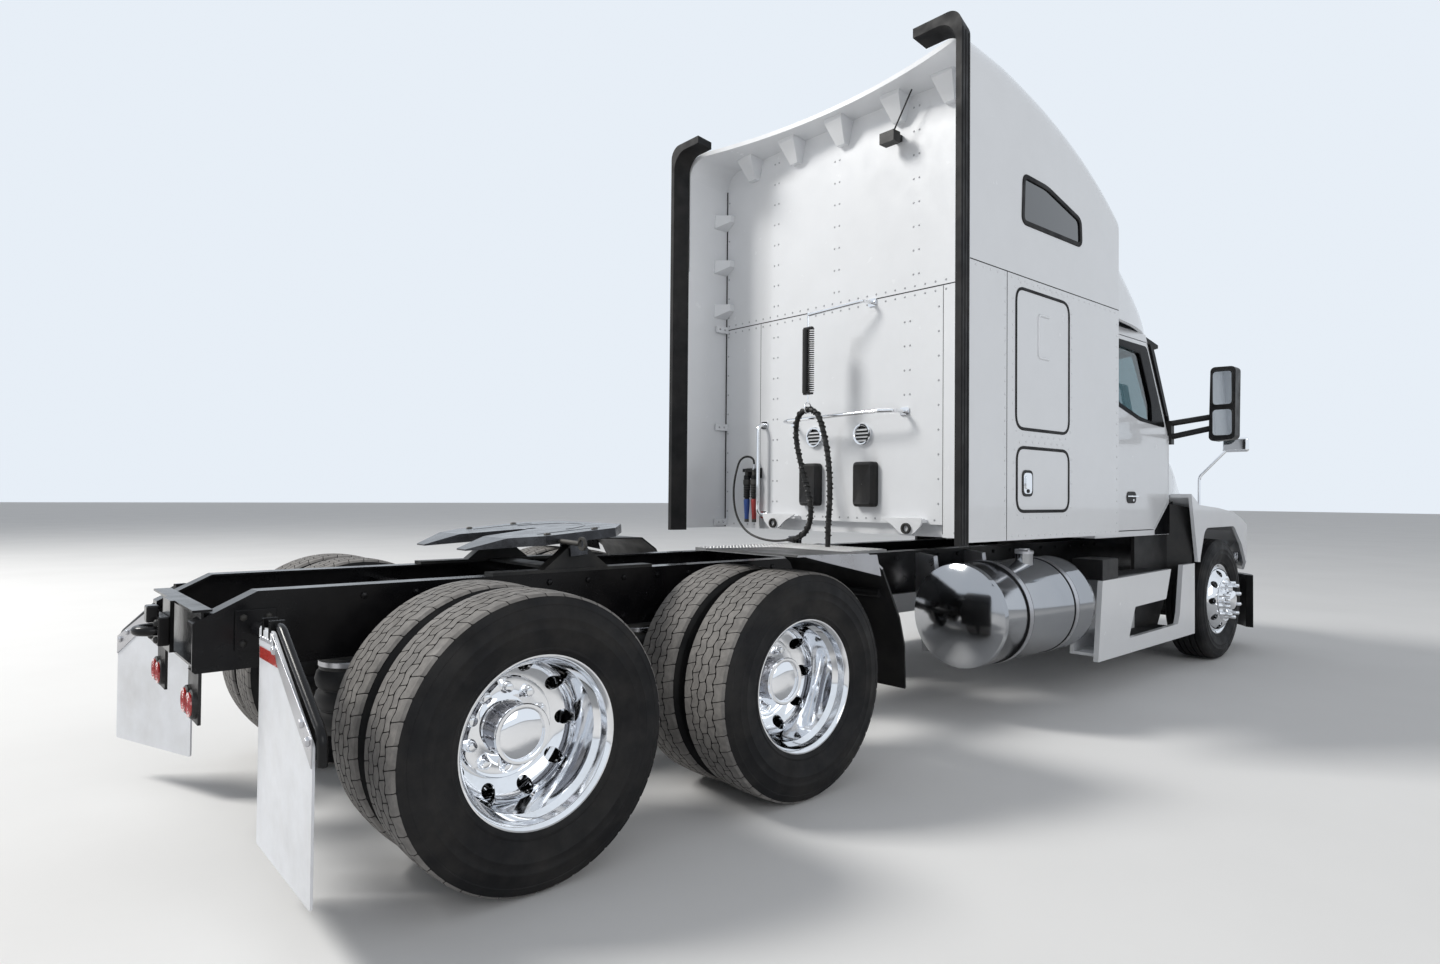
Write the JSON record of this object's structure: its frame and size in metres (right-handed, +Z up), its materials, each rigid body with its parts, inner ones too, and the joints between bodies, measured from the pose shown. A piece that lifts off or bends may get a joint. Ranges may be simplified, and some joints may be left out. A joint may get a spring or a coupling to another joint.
{
  "type": "semi truck tractor unit",
  "caption": "Three-axle road tractor with a tall sleeper cab, twin rear wheels, fifth wheel, round fuel tanks and white body panels.",
  "frame": {"origin": "on the ground under the middle of the vehicle's box", "axes": "+X forward, +Y to the left, +Z up"},
  "size_m": [8.7136, 3.055, 3.9864],
  "materials": {
    "body_white": "gloss white paint",
    "frame_black": "satin black paint",
    "axle_black": "dull black paint with road dust",
    "engine_grey": "dull grey",
    "tank_aluminium": "polished",
    "strap_steel": "brushed stainless",
    "wheel_aluminium": "polished",
    "deck_aluminium": "serrated mill finish",
    "chrome_trim": "bright",
    "window_glass": "tinted",
    "lamp_clear": "clear",
    "lamp_red": "red lens",
    "seat_fabric": "dark woven",
    "cab_plastic": "grained",
    "black_plastic": "black",
    "strip_rubber": "matte black",
    "hose_rubber": "black",
    "flap_white": "white, dusty",
    "greased_iron": "black with grease",
    "tyre_rubber": "black"
  },
  "bodies": {
    "root": {"frame": "frame_black", "front_axle": "axle_black", "drive_axles": "axle_black", "rear_suspension": "axle_black", "engine": "engine_grey", "propshafts": "axle_black", "radiator": "engine_grey", "fuel_tanks": "tank_aluminium", "tank_straps": "strap_steel", "side_steps": "body_white", "entry_panels": "black_plastic", "cab_shell": "body_white", "cab_glass": "window_glass", "seats": "seat_fabric", "dashboard": "cab_plastic", "sleeper_shell": "body_white", "roof_fairing": "body_white", "side_extenders": "body_white", "edge_strips": "strip_rubber", "sun_visor": "black_plastic", "mirrors": "black_plastic", "deck_plates": "deck_aluminium", "rear_fenders": "black_plastic", "flap_hangers": "axle_black", "mud_flaps": "flap_white", "tail_lamps": "lamp_red", "wall_fittings": "chrome_trim", "hose_bundle": "hose_rubber", "air_hose": "hose_rubber", "hose_plugs": "black_plastic", "fifth_wheel_base": "axle_black", "bumper": "black_plastic"},
    "fifth_wheel": {"fifth_wheel_plate": "greased_iron"},
    "hood": {"hood": "body_white", "grille": "chrome_trim", "headlamps": "lamp_clear", "hood_mirrors": "chrome_trim"},
    "door_right": {"door_right": "body_white", "door_glass_right": "window_glass"},
    "tall_door_right": {"tall_door_right": "body_white"},
    "low_door_right": {"low_door_right": "body_white"},
    "knuckle_right": {"knuckle_right": "axle_black"},
    "steer_wheel_right": {"steer_wheel_right": "wheel_aluminium", "steer_tyre_right": "tyre_rubber"},
    "forward_wheels_right": {"forward_wheels_right": "wheel_aluminium", "forward_tyres_right": "tyre_rubber"},
    "rear_wheels_right": {"rear_wheels_right": "wheel_aluminium", "rear_tyres_right": "tyre_rubber"},
    "door_left": {"door_left": "body_white", "door_glass_left": "window_glass"},
    "tall_door_left": {"tall_door_left": "body_white"},
    "low_door_left": {"low_door_left": "body_white"},
    "knuckle_left": {"knuckle_left": "axle_black"},
    "steer_wheel_left": {"steer_wheel_left": "wheel_aluminium", "steer_tyre_left": "tyre_rubber"},
    "forward_wheels_left": {"forward_wheels_left": "wheel_aluminium", "forward_tyres_left": "tyre_rubber"},
    "rear_wheels_left": {"rear_wheels_left": "wheel_aluminium", "rear_tyres_left": "tyre_rubber"},
    "tie_rod": {"tie_rod": "axle_black"}
  },
  "joints": [
    {"name": "fifth_wheel_tilt", "type": "hinge", "parent": "root", "child": "fifth_wheel", "pos_m": [-2.723, 0, 1.105], "axis": [0, 1, 0], "range_deg": [-10.4, 19.6]},
    {"name": "hood_tilt", "type": "hinge", "parent": "root", "child": "hood", "pos_m": [4.312, 0, 0.694], "axis": [0, 1, 0], "range_deg": [0, 70]},
    {"name": "door_right_swing", "type": "hinge", "parent": "root", "child": "door_right", "pos_m": [2.4135, -1.06, 1.7], "axis": [0, 0, 1], "range_deg": [0, 70]},
    {"name": "tall_door_right_swing", "type": "hinge", "parent": "root", "child": "tall_door_right", "pos_m": [0.3795, -1.225, 2.175], "axis": [0, 0, 1], "range_deg": [0, 90]},
    {"name": "low_door_right_swing", "type": "hinge", "parent": "root", "child": "low_door_right", "pos_m": [0.3775, -1.225, 1.465], "axis": [0, 0, 1], "range_deg": [0, 90]},
    {"name": "steer_right", "type": "hinge", "parent": "root", "child": "knuckle_right", "pos_m": [3.172, -0.94, 0.51], "axis": [0, 0, 1], "range_deg": [-40, 40]},
    {"name": "steer_wheel_right_spin", "type": "hinge", "parent": "knuckle_right", "child": "steer_wheel_right", "pos_m": [3.172, -1.065, 0.51], "axis": [0, 1, 0], "continuous": true},
    {"name": "forward_wheels_right_spin", "type": "hinge", "parent": "root", "child": "forward_wheels_right", "pos_m": [-2.0125, -0.903, 0.51], "axis": [0, 1, 0], "continuous": true},
    {"name": "rear_wheels_right_spin", "type": "hinge", "parent": "root", "child": "rear_wheels_right", "pos_m": [-3.3335, -0.903, 0.51], "axis": [0, 1, 0], "continuous": true},
    {"name": "door_left_swing", "type": "hinge", "parent": "root", "child": "door_left", "pos_m": [2.4135, 1.06, 1.7], "axis": [0, 0, -1], "range_deg": [0, 70]},
    {"name": "tall_door_left_swing", "type": "hinge", "parent": "root", "child": "tall_door_left", "pos_m": [0.3795, 1.225, 2.175], "axis": [0, 0, -1], "range_deg": [0, 90]},
    {"name": "low_door_left_swing", "type": "hinge", "parent": "root", "child": "low_door_left", "pos_m": [0.3775, 1.225, 1.465], "axis": [0, 0, -1], "range_deg": [0, 90]},
    {"name": "steer_left", "type": "hinge", "parent": "root", "child": "knuckle_left", "pos_m": [3.172, 0.94, 0.51], "axis": [0, 0, 1], "range_deg": [-40, 40]},
    {"name": "steer_wheel_left_spin", "type": "hinge", "parent": "knuckle_left", "child": "steer_wheel_left", "pos_m": [3.172, 1.065, 0.51], "axis": [0, 1, 0], "continuous": true},
    {"name": "forward_wheels_left_spin", "type": "hinge", "parent": "root", "child": "forward_wheels_left", "pos_m": [-2.0125, 0.903, 0.51], "axis": [0, 1, 0], "continuous": true},
    {"name": "rear_wheels_left_spin", "type": "hinge", "parent": "root", "child": "rear_wheels_left", "pos_m": [-3.3335, 0.903, 0.51], "axis": [0, 1, 0], "continuous": true},
    {"name": "tie_rod_swing", "type": "hinge", "parent": "knuckle_right", "child": "tie_rod", "pos_m": [2.982, -0.94, 0.4], "axis": [0, 0, 1], "range_deg": [-40, 40]}
  ],
  "couplings": [
    {"joint": "steer_left", "follows": "steer_right", "ratio": 1},
    {"joint": "tie_rod_swing", "follows": "steer_right", "ratio": -1}
  ]
}
